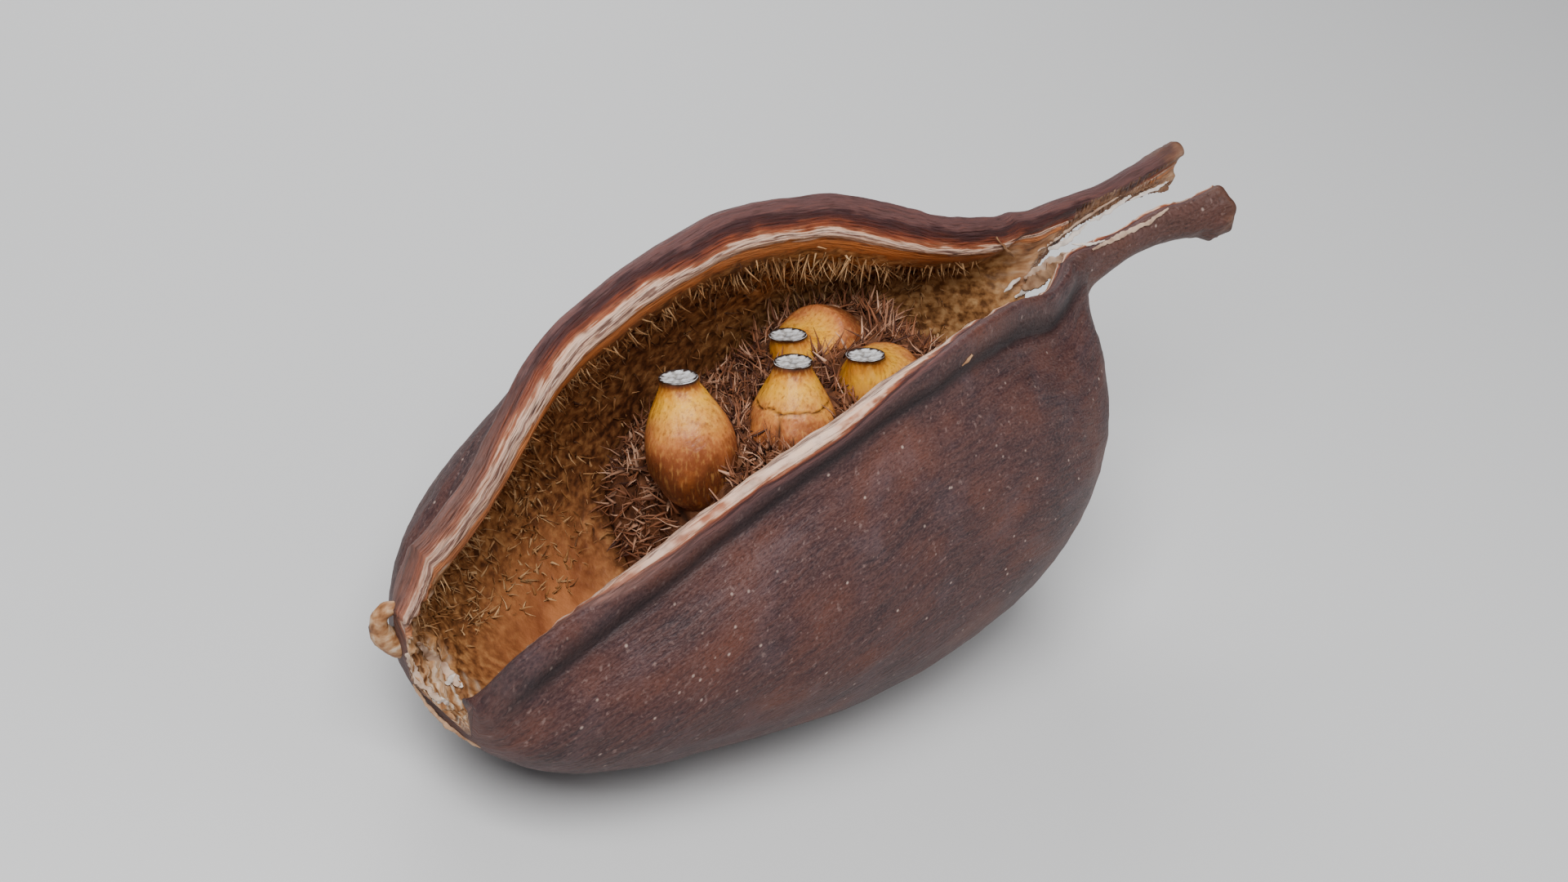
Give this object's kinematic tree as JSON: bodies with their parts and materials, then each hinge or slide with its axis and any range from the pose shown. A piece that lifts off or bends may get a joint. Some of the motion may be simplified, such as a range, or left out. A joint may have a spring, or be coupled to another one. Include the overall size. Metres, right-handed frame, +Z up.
{
  "type": "kurrajong seed pod",
  "caption": "Dry woody seed pod split open into a boat, its stalk end torn into two prongs, with bristly lining and yellow seeds standing in a bristle bed.",
  "frame": {"origin": "middle of the bounding box's floor: the pod lies on the flat spot of its belly", "axes": "+X along the pod from the torn tip to the stalk's prongs, which it raises by 12 degrees; +Z up, out of the pod's mouth; -Y towards the near valve"},
  "size_m": [0.0608, 0.026, 0.0259],
  "materials": {
    "pod_shell": "dry dark purple-brown husk, half matt",
    "bristle_bed": "stiff red-brown and golden bristles, matt",
    "seed": "yellow to orange seed coat, half matt"
  },
  "bodies": {
    "root": {"pod_shell": "pod_shell", "bristle_bed": "bristle_bed", "seed_1": "seed", "seed_2": "seed", "seed_3": "seed", "seed_4": "seed"}
  },
  "joints": []
}
